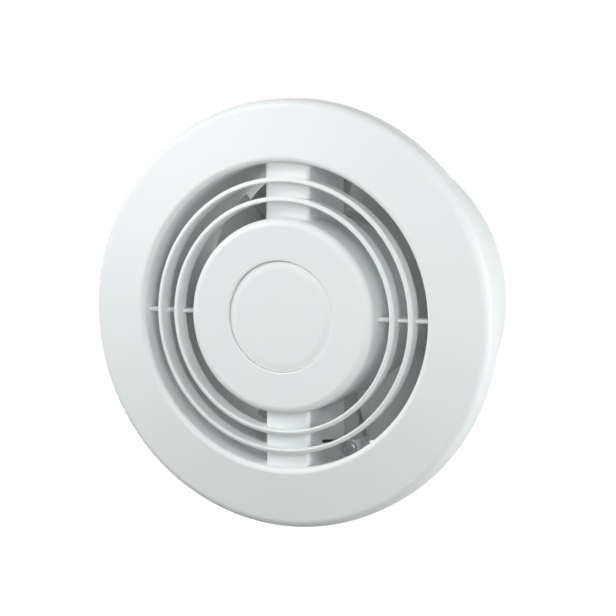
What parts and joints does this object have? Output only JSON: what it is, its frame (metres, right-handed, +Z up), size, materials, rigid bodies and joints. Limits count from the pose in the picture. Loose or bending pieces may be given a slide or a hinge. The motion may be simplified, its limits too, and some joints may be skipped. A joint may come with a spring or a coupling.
{
  "type": "exhaust fan",
  "caption": "Round white wall exhaust fan: conical fascia with ring grille and centre hub, duct spigot behind, and a motor cradle that carries a bladed impeller.",
  "frame": {"origin": "on the fan's axis, in the wall plane that the base plate's back lies on", "axes": "+Y along the duct into the wall, -Y out of the front, +Z up"},
  "size_m": [0.1626, 0.082, 0.1626],
  "materials": {
    "fascia_white": "satin moulded",
    "housing_white": "satin moulded",
    "cradle_white": "matt moulded",
    "impeller_grey": "matt moulded",
    "rubber": "matt",
    "steel": "zinc plated",
    "lamination": "stamped sheets",
    "copper": "enamelled wire",
    "aluminium": "die cast",
    "bronze": "sintered",
    "brass": "turned",
    "bobbin": "moulded",
    "terminal": "moulded",
    "wire": "insulation"
  },
  "bodies": {
    "housing": {"wall_housing": "housing_white", "cable_grommet": "rubber", "front_grille": "fascia_white", "centre_cap": "fascia_white", "grille_screw": "steel", "motor_cradle": "cradle_white", "cradle_screws": "steel", "terminal_block": "terminal", "terminal_inserts": "brass", "terminal_clamp_screws": "steel", "terminal_fixing_screws": "steel", "motor_leads": "wire", "stator_core": "lamination", "shading_rings": "copper", "coil_bobbins": "bobbin", "stator_coils": "copper", "front_end_shield": "aluminium", "rear_end_shield": "aluminium", "front_bearing": "bronze", "rear_bearing": "bronze", "motor_bolts": "steel", "motor_nuts": "steel", "motor_dampers": "rubber"},
    "rotor": {"motor_shaft": "steel", "rotor_core": "lamination", "rotor_end_rings": "aluminium", "thrust_washers": "bobbin", "impeller": "impeller_grey", "impeller_washer": "steel", "impeller_nut": "steel"}
  },
  "joints": [
    {"name": "rotor_spin", "type": "hinge", "parent": "housing", "child": "rotor", "pos_m": [0, 0.03, 0], "axis": [0, 1, 0], "continuous": true}
  ]
}
